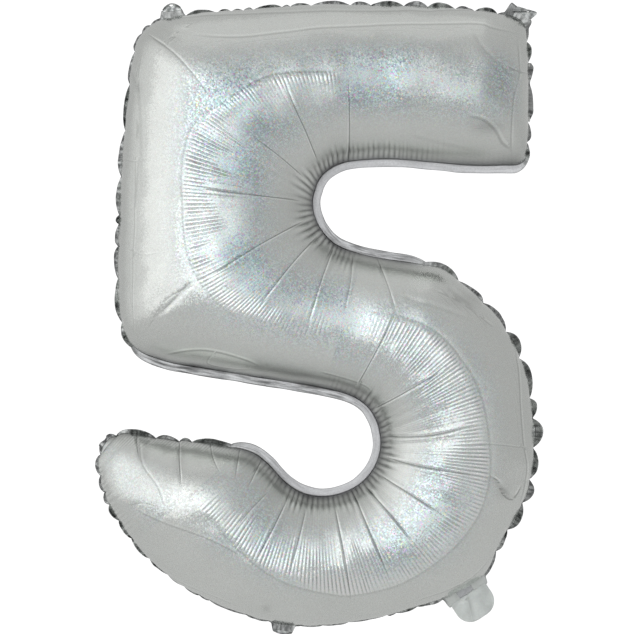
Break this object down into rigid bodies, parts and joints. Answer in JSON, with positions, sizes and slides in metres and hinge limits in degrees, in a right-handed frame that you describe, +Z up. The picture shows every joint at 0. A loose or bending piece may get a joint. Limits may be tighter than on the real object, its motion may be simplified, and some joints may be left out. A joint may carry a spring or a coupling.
{
  "type": "foil number balloon",
  "caption": "Inflated foil balloon in the shape of the digit five, with a sealed edge seam, an inflation tail with a valve and punched tabs for hanging it or tying it down.",
  "frame": {"origin": "centre of the object's box, in the plane where the two panels are sealed", "axes": "+Z up the digit, +X to the right as the digit is read, -Y out of the front face"},
  "size_m": [0.6198, 0.184, 0.8891],
  "materials": {
    "foil": "satin silver metallised film with a fine holographic sparkle",
    "valve_film": "clear film"
  },
  "bodies": {
    "envelope": {"front_panel": "foil", "back_panel": "foil", "valve_front_film": "valve_film", "valve_back_film": "valve_film"},
    "inflation_tail": {"tail_front_layer": "foil", "tail_back_layer": "foil"},
    "hang_tab_left": {"hang_tab_left": "foil"},
    "hang_tab_right": {"hang_tab_right": "foil"},
    "tie_tab": {"tie_tab": "foil"}
  },
  "joints": [
    {"name": "tail_flex", "type": "hinge", "parent": "envelope", "child": "inflation_tail", "pos_m": [0.21006, 0, -0.37817], "axis": [-0.8351, 0, -0.5501], "range_deg": [-90, 90], "stiffness_Nm_per_rad": 0.001},
    {"name": "hang_tab_left_flex", "type": "hinge", "parent": "envelope", "child": "hang_tab_left", "pos_m": [-0.19885, 0, 0.42844], "axis": [0.991, 0, 0.134], "range_deg": [-90, 90], "stiffness_Nm_per_rad": 0.001},
    {"name": "hang_tab_right_flex", "type": "hinge", "parent": "envelope", "child": "hang_tab_right", "pos_m": [0.28627, 0, 0.42319], "axis": [0.6697, 0, -0.7426], "range_deg": [-90, 90], "stiffness_Nm_per_rad": 0.001},
    {"name": "tie_tab_flex", "type": "hinge", "parent": "envelope", "child": "tie_tab", "pos_m": [-0.047, 0, -0.4293], "axis": [-0.9879, 0, 0.155], "range_deg": [-90, 90], "stiffness_Nm_per_rad": 0.001}
  ]
}
